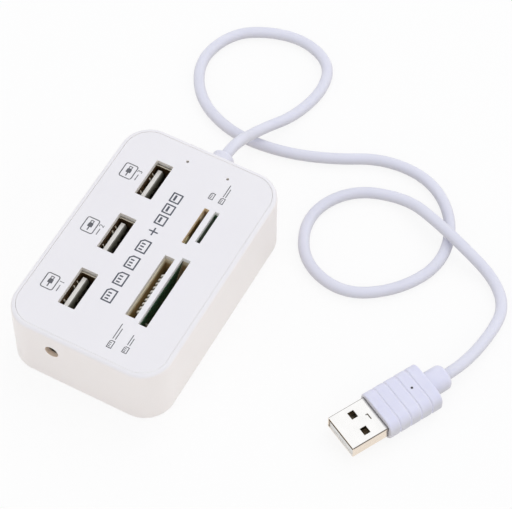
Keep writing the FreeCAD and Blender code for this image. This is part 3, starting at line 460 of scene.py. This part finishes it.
def port_steel(name, port_y):
    """A port's shell: painted dark brown as painted shade inside, with painted highlights on its far top edge
    and on the edges of its spring fingers.
    """
    m = Maker(name)
    # Painted shade: the shell is painted dark brown for the shade inside the port.
    painted_port_shade = m.clouds(SPECKS, srgb(92, 70, 46), spread=0.2)
    painted_port_highlight = m.clouds(SPECKS, srgb(255, 244, 226), spread=0.04)
    # Painted highlights: the far top edge and the spring fingers' edges are painted pale and less metallic,
    # for the light they catch.
    far_end = m.above(m.axis("Y"), (port_y + SHELL_END) * MM)
    painted_highlight_mask = m.both(far_end, m.above(m.axis("Z"), SHELL_EDGE * MM))
    for offset in FINGER_EDGES:
        painted_light_edge = m.within("Y", port_y + offset, FINGER_HIGHLIGHT_HALF)
        painted_finger_highlight = m.both(painted_light_edge, m.within("Z", FINGER_MIDDLE, FINGER_HALF))
        painted_highlight_mask = m.math("MAXIMUM", painted_highlight_mask, painted_finger_highlight)
    m.colour(m.mix(painted_highlight_mask, painted_port_shade, painted_port_highlight))
    finish_drawn(m, UPRIGHT, smoothest=0.36, roughest=0.52)
    fill(m.shader, {"Metallic": m.span(painted_highlight_mask, low=0.55, high=0.0)})
    return m.material


def plug_steel(name):
    """The plug's bright shell, toned by how its faces look: white above as a painted highlight, warm on its
    sides, painted shade along its folds and a painted reflection of the grip's shaded front next to the grip.
    """
    m = Maker(name)
    shaded_side = srgb(243, 230, 214)
    painted_fold_shade = srgb(116, 108, 102)
    painted_lit_top = srgb(255, 255, 255)
    grip_reflection_tone = srgb(116, 114, 116)
    # Painted light and shade: white on faces that look up, darker on the folds, warm on the sides.
    tone = m.ramp(m.facing("Z"), ((0.0, shaded_side), (0.25, shaded_side), (0.45, painted_fold_shade), (0.9, painted_fold_shade), (0.97, painted_lit_top)))
    # Painted reflection: darker towards the grip, for the grip's shaded front seen in the shell.
    grip_reflection_share = m.share(m.along(PLUG_AXIS, PLUG_TIP), GRIP_REFLECTION_START * MM, GRIP_FRONT * MM)
    tone = m.mix(grip_reflection_share, tone, grip_reflection_tone)
    m.colour(m.clouded(tone, STAINS, srgb(251, 250, 249), spread=0.03))
    finish_drawn(m, LENGTHWISE, smoothest=0.2, roughest=0.34, strength=0.15, depth=0.003)
    fill(m.shader, {"Metallic": 1.0})
    return m.material


def board_traces(m, mask):
    """Traces under the mask: courses of bricks, turned to lie in the upright board."""
    turned = m.node("ShaderNodeVectorRotate", {"Vector": m.place, "Angle": math.radians(90)},
                    rotation_type="Y_AXIS")
    return m.node("ShaderNodeTexBrick", {
        "Vector": turned.outputs["Vector"], "Scale": 240.0, "Mortar Size": 0.035,
        "Color1": mask, "Color2": shade(mask, 0.85), "Mortar": srgb(70, 108, 74),
    })


def board_in_slots(m, plain):
    """The card board's face: grey in the micro slot, and bare under a sloped pale border in the card slot."""
    shown = m.both(m.within("X", BOARD_FACE, BOARD_SKIN), m.above(m.facing("X"), limit=0.5))
    micro = m.both(shown, m.within("Y", MICRO_SLOT.y, MICRO_HALF))
    nearer = m.span(m.axis("Y"), 1.0, 0.0, MICRO_NEAR * MM, MICRO_FAR * MM)
    grey = m.mix(nearer, m.clouds(SPECKS, srgb(178, 184, 172), spread=0.05), srgb(112, 119, 109))
    height = m.math("SUBTRACT", m.axis("Z"), m.math("MULTIPLY", m.axis("Y"), FIELD_SLOPE))
    height = m.math("SUBTRACT", height, FIELD_EDGE * MM)
    field = m.both(shown, m.within("Y", 0.0, FIELD_HALF))
    bare = m.both(field, m.below(height, limit=0.0))
    border = m.both(field, m.below(m.math("ABSOLUTE", height), FIELD_LINE * MM))
    tone = m.mix(micro, plain, grey)
    tone = m.mix(bare, tone, m.clouds(SPECKS, srgb(205, 187, 155), spread=0.1))
    return m.mix(border, tone, srgb(250, 244, 224))


def circuit_board(name):
    """Green solder mask over traces, with plated pads and the glass weave showing faintly."""
    m = Maker(name)
    mask = srgb(46, 78, 60)
    weave = m.node("ShaderNodeTexWave", {"Vector": m.place, "Scale": 420.0, "Distortion": 1.5},
                   wave_type="BANDS", bands_direction="DIAGONAL").outputs["Fac"]
    traces = board_traces(m, mask)
    cells = m.node("ShaderNodeTexVoronoi", {"Vector": m.place, "Scale": 330.0}, feature="F1")
    pads = m.below(cells.outputs["Distance"], limit=0.1)
    plain = m.mix(m.span(weave, low=0.0, high=0.25), traces.outputs["Color"], shade(mask, 1.5))
    m.colour(m.mix(pads, board_in_slots(m, plain), srgb(188, 160, 96)))
    m.roughness(m.span(weave, low=0.32, high=0.45))
    m.bump(traces.outputs["Fac"], strength=0.4, depth=0.02)
    return m.material


def grip_marks(m, tone):
    """The grip's grooves, painted a little paler as painted light against their shade, and a dark spot at the
    pit of its moulding gate.
    """
    along = m.along(PLUG_AXIS, PLUG_TIP)
    steps = m.math("DIVIDE", m.math("SUBTRACT", along, GROOVE_FIRST * MM), GROOVE_PITCH * MM)
    step = m.math("FRACT", m.math("ADD", steps, 0.5))
    painted_groove_light = m.span(m.away(step, 0.5), 1.0, 0.0, GROOVE_CORE, GROOVE_BRIM)
    painted_groove_light = m.both(painted_groove_light, m.below(m.away(along, GROOVE_MIDDLE * MM), GROOVE_REACH * MM))
    # Painted light: the grooves are painted paler against the shade in them.
    tone = m.mix(painted_groove_light, tone, m.clouds(VINYL_FLOW, srgb(235, 235, 249), spread=0.01))
    # A dark spot at the pit of the moulding gate
    dark_gate_spot = m.clouds(scale=3000.0, colour=srgb(62, 60, 74), spread=0.2)
    return m.mix(m.near(gate, GATE_PIT), tone, dark_gate_spot)


def soft_vinyl(name, colour, rough, shaded_side=None, grip=False):
    """Soft vinyl: faintly pebbled and, on the cord and the grip, greyer down its sides as painted shade."""
    m = Maker(name)
    tone = m.clouds(VINYL_FLOW, colour, spread=0.02)
    if shaded_side:
        # Painted shade: faces that look less upward take the greyer shaded colour.
        upward = m.share(m.facing("Z", "Normal"), start=0.0, end=0.9)
        tone = m.mix(upward, m.clouds(VINYL_FLOW, shaded_side, spread=0.02), tone)
        let_light_in(m, weight=0.6, depth=0.6)
    if grip:
        tone = grip_marks(m, tone)
    m.colour(tone)
    m.gloss(scale=210.0, detail=2.0, smoothest=rough - 0.05, roughest=rough + 0.07)
    m.grain(scale=5200.0, strength=0.3, depth=0.008)
    fill(m.shader, {"Specular IOR Level": 0.35, "Sheen Weight": 0.08, "Sheen Roughness": 0.5})
    return m.material


def shaded_insert(name):
    """The plug's insulator: pale at its front, with painted shade on the shelf inside the shell."""
    m = Maker(name)
    front = m.clouds(STAINS, srgb(236, 235, 232), spread=0.03)
    # Painted shade: the shelf inside the shell is painted dark brown.
    shaded_shelf = m.clouds(scale=900.0, colour=srgb(112, 98, 76), spread=0.15)
    m.colour(m.mix(m.above(m.facing("Z"), limit=0.5), front, shaded_shelf))
    m.gloss(scale=400.0, detail=3.0, smoothest=0.4, roughest=0.55)
    m.grain(MOULD_GRAIN, strength=0.3, depth=0.005)
    return m.material


def lamp_lens(name):
    """A small light's lens: smooth, cloudy and partly clear."""
    m = Maker(name)
    cloudy = ((0.3, srgb(120, 134, 150)), (0.7, srgb(168, 182, 196)))
    m.colour(m.ramp(m.noise(scale=700.0, detail=2.0), cloudy))
    m.gloss(scale=900.0, detail=2.0, smoothest=0.08, roughest=0.2)
    fill(m.shader, {"Transmission Weight": 0.35})
    return m.material


def ink(name, colour):
    """Pad-printed ink: a little uneven in tone and gloss."""
    m = Maker(name)
    m.colour(m.clouds(scale=1500.0, colour=colour, spread=0.15))
    m.gloss(scale=800.0, detail=2.0, smoothest=0.4, roughest=0.6)
    return m.material


# Looks of the material slots, and of the nodes that differ from their slot
CORD_COLOUR = srgb(225, 226, 239)
# The side colours of the cord and the grip are painted shade
CORD_SHADE = srgb(207, 206, 213)
GRIP_COLOUR = srgb(226, 227, 246)
GRIP_SHADE = srgb(208, 207, 214)
PANEL_COLOUR = srgb(238, 237, 242)
SLOT_LOOKS = {
    "case_white": case_plastic("case_white", srgb(245, 239, 236), PANEL_COLOUR),
    "panel_white": panel_plastic("panel_white", PANEL_COLOUR, srgb(233, 229, 223)),
    "cord_white": soft_vinyl("cord_white", CORD_COLOUR, 0.5, CORD_SHADE),
    "sheet_steel": sheet_metal("sheet_steel", srgb(200, 190, 172), 0.28, UPRIGHT),
    "screw_steel": sheet_metal("screw_steel", srgb(178, 178, 176), 0.34),
    "insulator_white": moulded("insulator_white", srgb(250, 249, 246), 0.42, mottle=0.02),
    "contact_gold": sheet_metal("contact_gold", srgb(222, 186, 112), 0.26, UPRIGHT),
    "contact_bright": sheet_metal("contact_bright", srgb(255, 254, 250), 0.4, UPRIGHT, metallic=0.1),
    "board_green": circuit_board("board_green"),
    "socket_brown": socket_plastic("socket_brown", srgb(194, 160, 108), srgb(255, 240, 212)),
    "socket_black": moulded("socket_black", srgb(92, 130, 100), 0.5, mottle=0.12),
    "jack_black": moulded("jack_black", srgb(72, 60, 48), 0.5, mottle=0.12),
    "chip_black": moulded("chip_black", srgb(30, 30, 31), 0.6, mottle=0.15),
    "can_aluminium": sheet_metal("can_aluminium", srgb(196, 198, 202), 0.3),
    "part_tan": moulded("part_tan", srgb(168, 140, 104), 0.55, mottle=0.15),
    "light_clear": lamp_lens("light_clear"),
    "wire_red": soft_vinyl("wire_red", srgb(176, 32, 30), 0.45),
    "wire_white": soft_vinyl("wire_white", srgb(226, 224, 220), 0.45),
    "wire_green": soft_vinyl("wire_green", srgb(32, 120, 58), 0.45),
    "wire_black": soft_vinyl("wire_black", srgb(28, 28, 29), 0.45),
    "wire_grey": soft_vinyl("wire_grey", srgb(118, 118, 122), 0.45),
}
dull_contact = sheet_metal("contact_dull", srgb(126, 118, 102), 0.4, UPRIGHT)
tongue = tongue_plastic("tongue_plastic")
NODE_LOOKS = {
    "plug_shell": plug_steel("plug_steel"),
    "plug_insert": shaded_insert("plug_insert"),
    "plug_grip": soft_vinyl("grip_vinyl", GRIP_COLOUR, 0.5, GRIP_SHADE, grip=True),
    "plug_contacts": dull_contact,
    "mini_contacts": dull_contact,
    "mini_socket": mini_socket_plastic("mini_socket"),
    "detect_spring": sheet_metal("contact_grey", srgb(164, 160, 150), 0.45, UPRIGHT, metallic=0.1),
}
for number, port in enumerate(PORTS, 1):
    NODE_LOOKS["port_shell_" + str(number)] = port_steel("port_steel_" + str(number), port.y)
    NODE_LOOKS["port_tongue_" + str(number)] = tongue
    NODE_LOOKS["port_contacts_" + str(number)] = dull_contact
for part in frame["record"]["subparts"]:
    mesh = nodes[part["node"]].data
    mesh.materials.clear()
    mesh.materials.append(NODE_LOOKS.get(part["node"]) or SLOT_LOOKS[part["material_slot"]])

# Print on the panel: simple marks, drawn in millimetres and read along +Y
INK_LIFT = 0.008
CORNER_STEPS = 4
LEAST_CORNER = 0.02
HEAD_CORNER = 0.05
GRIP_CORNER = 0.16
PORT_CORNER = 0.2


def rounded(u, v, width, height, radius):
    """A closed rectangle with round corners, about a middle."""
    points = []
    for turn, (su, sv) in enumerate(((1, 1), (-1, 1), (-1, -1), (1, -1))):
        for step in range(CORNER_STEPS + 1):
            angle = math.radians(90 * (turn + step / CORNER_STEPS))
            points.append((u + su * (width / 2 - radius) + radius * math.cos(angle),
                           v + sv * (height / 2 - radius) + radius * math.sin(angle)))
    return points


def ring(outer, inner):
    """The band between two outlines of as many points, as four-sided faces."""
    count = len(outer)
    return [[outer[i], outer[(i + 1) % count], inner[(i + 1) % count], inner[i]] for i in range(count)]


def frame_of(u, v, width, height, radius, line):
    """A rectangle with round corners, drawn as a line."""
    return ring(rounded(u, v, width, height, radius),
                rounded(u, v, width - 2 * line, height - 2 * line, max(radius - line, LEAST_CORNER)))


def bar(u, v, width, height):
    """A plain rectangle about a middle."""
    return [(u - width / 2, v - height / 2), (u + width / 2, v - height / 2),
            (u + width / 2, v + height / 2), (u - width / 2, v + height / 2)]


def card_mark(u, v, width, height, line):
    """A card seen flat: an outline with a cut corner, and a row of three contacts."""
    cut = 0.28 * height
    contact_width = 0.1 * width
    contact_height = 0.34 * height
    contact_pitch = 0.22 * width
    contact_first = u - 0.26 * width
    contact_row = v + 0.08 * height

    def outline(inset):
        a = width / 2 - inset
        b = height / 2 - inset
        c = cut - inset * (2 - math.sqrt(2))
        return [(u - a, v - b), (u + a, v - b), (u + a, v + b - c), (u + a - c, v + b), (u - a, v + b)]
    marks = ring(outline(0), outline(line))
    for i in range(3):
        marks.append(bar(contact_first + i * contact_pitch, contact_row, contact_width, contact_height))
    return marks


def plug_mark(u, v, length, line):
    """A plain plug: an open head, a solid grip and a tail."""
    head = 0.3 * length
    grip = 0.36 * length
    tail = length - head - grip
    grip_height = 1.35 * head
    tail_height = 1.4 * line
    marks = frame_of(u + length / 2 - head / 2, v, head, head, HEAD_CORNER, line)
    marks.append(rounded(u + length / 2 - head - grip / 2, v, grip, grip_height, GRIP_CORNER))
    marks.append(bar(u - length / 2 + tail / 2, v, tail, tail_height))
    return marks


def port_mark(u, v, width, height, line):
    """A port seen from its front: a frame and its tongue."""
    tongue_width = 0.56 * width
    tongue_height = 0.2 * height
    lift = 0.1 * height
    marks = frame_of(u, v, width, height, PORT_CORNER, line)
    marks.append(bar(u, v + lift, tongue_width, tongue_height))
    return marks


def plus_mark(u, v, size, line):
    """A plus sign, in three bars that don't overlap."""
    arm = (size - line) / 2
    away = (size + line) / 4
    return [bar(u, v, line, size), bar(u - away, v, arm, line), bar(u + away, v, arm, line)]


def lay_print(name, mesh, material):
    """Makes a printed mesh a piece that rides on the case."""
    mesh.materials.clear()
    mesh.materials.append(material)
    made = bpy.data.objects.new(name, mesh)
    scene.collection.objects.link(made)
    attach(made, "root")
    return made


def print_marks(name, marks, x, y, material):
    """Lays flat faces on the panel about a place: u along +Y and v along -X."""
    points = []
    faces = []
    for mark in marks:
        faces.append(list(range(len(points), len(points) + len(mark))))
        points += [((x - v) * MM, (y + u) * MM, (PANEL_TOP + INK_LIFT) * MM) for u, v in mark]
    mesh = bpy.data.meshes.new(name)
    mesh.from_pydata(points, [], faces)
    lay_print(name, mesh, material)


def print_number(name, digits, size, x, y, material):
    """Lays digits on the panel, as flat faces made from a text curve."""
    curve = bpy.data.curves.new(name, "FONT")
    curve.body = digits
    curve.size = size * MM
    curve.align_x = "CENTER"
    curve.align_y = "CENTER"
    source = bpy.data.objects.new(name + "_outline", curve)
    scene.collection.objects.link(source)
    bpy.context.view_layer.update()
    mesh = bpy.data.meshes.new_from_object(source.evaluated_get(bpy.context.evaluated_depsgraph_get()))
    bpy.data.objects.remove(source)
    made = lay_print(name, mesh, material)
    made.location = (x * MM, y * MM, (PANEL_TOP + INK_LIFT) * MM)
    made.rotation_euler = (0, 0, math.radians(90))


INK = ink("ink_slate", srgb(78, 82, 94))
FINE_INK = ink("ink_grey", srgb(92, 93, 99))

# Beside each port: a plug in a frame, a number and a dash
ICON_X = -17.7
ICON_MIDDLE = -0.77
ICON_PITCH = 21.5
ICON_WIDTH = 5.3
ICON_HEIGHT = 4.1
ICON_CORNER = 0.75
ICON_LINE = 0.3
ICON_PLUG = 3.6
THIN_LINE = 0.26
NUMBER_X = -14.6
NUMBER_SIZE = 2.1
NUMBER_AHEAD = 1.3
DASH = 2.2
DASH_BEHIND = 0.9
for number in (1, 2, 3):
    y = ICON_MIDDLE + ICON_PITCH * (number - 2)
    icon = frame_of(0, 0, ICON_WIDTH, ICON_HEIGHT, ICON_CORNER, ICON_LINE)
    icon += plug_mark(0, 0, ICON_PLUG, THIN_LINE)
    dash = bar(-DASH_BEHIND, 0, DASH, THIN_LINE)
    print_marks("print_port_icon_" + str(number), icon, ICON_X, y, FINE_INK)
    print_number("print_port_number_" + str(number), str(number), NUMBER_SIZE, NUMBER_X, y + NUMBER_AHEAD,
                 FINE_INK)
    print_marks("print_port_dash_" + str(number), [dash], NUMBER_X, y, FINE_INK)

# Along the middle: four cards, a plus sign and three ports
ROW_X = -1.0
ROW_Y = -0.2
ROW_LINE = 0.44
ROW_CARDS = (-18.3, -12.1, -5.9, 0.3)
CARD_SIZE = (4.6, 3.3)
ROW_PLUS = 6.0
PLUS_SIZE = 2.8
ROW_PORTS = (10.4, 14.7, 19.0)
PORT_SIZE = (3.5, 3.2)
row = []
for place in ROW_CARDS:
    row += card_mark(place, 0, *CARD_SIZE, ROW_LINE)
row += plus_mark(ROW_PLUS, 0, PLUS_SIZE, ROW_LINE)
for place in ROW_PORTS:
    row += port_mark(place, 0, *PORT_SIZE, ROW_LINE)
print_marks("print_middle_row", row, ROW_X, ROW_Y, INK)

# By the slots: a small card, and lines where words would stand
FINE_LINE = 0.24

# Each label's place on the panel, its card's u, width and height, and each line's u, v and length
LABELS = {
    "print_label_mini": ((7.5, 24.3), (0.0, 2.4, 1.5), ()),
    "print_label_micro": ((10.8, 26.6), (-2.5, 2.2, 1.5), ((1.2, 0.35, 4.6), (0.6, -0.35, 3.4))),
    "print_label_stick": ((7.3, -29.0), (-3.0, 2.6, 1.6), ((1.5, 0.4, 5.4), (0.8, -0.4, 4.0))),
    "print_label_card": ((11.8, -29.7), (-2.0, 2.2, 1.6), ((1.4, 0.35, 3.6), (0.9, -0.35, 2.6))),
}
for name, ((x, y), (card_u, width, height), lines) in LABELS.items():
    label = card_mark(card_u, 0, width, height, FINE_LINE)
    for u, v, length in lines:
        label.append(bar(u, v, length, FINE_LINE))
    print_marks(name, label, x, y, FINE_INK)

# The cable stands for the part's own: it rides on the case, and the part's cable is hidden
cable.data.materials.append(SLOT_LOOKS["cord_white"])
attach(cable, "root")
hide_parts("cable")

# Floor and light; lengths are in metres
WHITE = (1.0, 1.0, 1.0, 1.0)
WORLD_TINT = (0.99, 0.992, 1.0, 1.0)
WORLD_LEVEL = 0.785
FLOOR_SIDE = 6.0
FLOOR_DROP = 0.00005
FLOOR_GLOW = 0.85
LIGHT_AIM = Vector((0.02, 0.02, 0.0))


def seen_white(tree):
    """1 for what the camera, a reflection or a clear piece sees."""
    path = add_node(tree, "ShaderNodeLightPath")
    seen = path.outputs["Is Camera Ray"]
    for name in ("Is Glossy Ray", "Is Transmission Ray"):
        either = add_node(tree, "ShaderNodeMath", {0: seen, 1: path.outputs[name]}, operation="MAXIMUM")
        seen = either.outputs[0]
    return seen


def make_world():
    """Soft light from all round, seen as plain white."""
    world = bpy.data.worlds.new("studio")
    world.use_nodes = True
    scene.world = world
    tree = world.node_tree
    soft = tree.nodes["Background"]
    fill(soft, {"Color": WORLD_TINT, "Strength": WORLD_LEVEL})
    white = add_node(tree, "ShaderNodeBackground", {"Color": WHITE, "Strength": 1.0})
    shaders = {"Fac": seen_white(tree), 1: soft.outputs[0], 2: white.outputs[0]}
    chosen = add_node(tree, "ShaderNodeMixShader", shaders)
    fill(tree.nodes["World Output"], {"Surface": chosen.outputs[0]})


def floor_paper(name):
    """White paper that mostly glows where it is seen, so that a shadow on it stays faint."""
    material = bpy.data.materials.new(name)
    material.use_nodes = True
    tree = material.node_tree
    paper = tree.nodes["Principled BSDF"]
    fill(paper, {"Base Color": srgb(246, 246, 247), "Roughness": 0.9, "Specular IOR Level": 0.1})
    glow = add_node(tree, "ShaderNodeEmission", {"Color": WHITE, "Strength": 1.0})
    share = add_node(tree, "ShaderNodeMath", {0: seen_white(tree), 1: FLOOR_GLOW}, operation="MULTIPLY")
    shaders = {"Fac": share.outputs[0], 1: paper.outputs[0], 2: glow.outputs[0]}
    blend = add_node(tree, "ShaderNodeMixShader", shaders)
    fill(tree.nodes["Material Output"], {"Surface": blend.outputs[0]})
    return material


def make_floor():
    """A wide sheet just under the object."""
    mesh = bpy.data.meshes.new("floor")
    mesh.from_pydata([(x, y, 0) for x, y in bar(0, 0, FLOOR_SIDE, FLOOR_SIDE)], [], [(0, 1, 2, 3)])
    mesh.materials.append(floor_paper("floor_paper"))
    floor = bpy.data.objects.new("floor", mesh)
    floor.location.z = -FLOOR_DROP
    scene.collection.objects.link(floor)


def area_light(name, place, size, power, colour):
    """A soft disc aimed at the object, left out of reflections, where the white world stands for it."""
    lamp = bpy.data.lights.new(name, "AREA")
    lamp.shape = "DISK"
    lamp.size = size
    lamp.energy = power
    lamp.color = colour
    made = bpy.data.objects.new(name, lamp)
    made.location = place
    made.rotation_mode = "QUATERNION"
    made.rotation_quaternion = (LIGHT_AIM - Vector(place)).to_track_quat("-Z", "Y")
    made.visible_glossy = False
    scene.collection.objects.link(made)


make_world()
make_floor()
area_light("high", place=(0.1, 0.8, 1.2), size=1.27, power=4.0, colour=(1.0, 0.995, 0.985))
area_light("shaded_side", place=(1.35, 0.1, 0.75), size=0.94, power=2.2, colour=(1.0, 0.99, 0.98))
area_light("front", place=(-0.7, -1.1, 0.6), size=0.7, power=1.2, colour=(1.0, 0.99, 0.98))
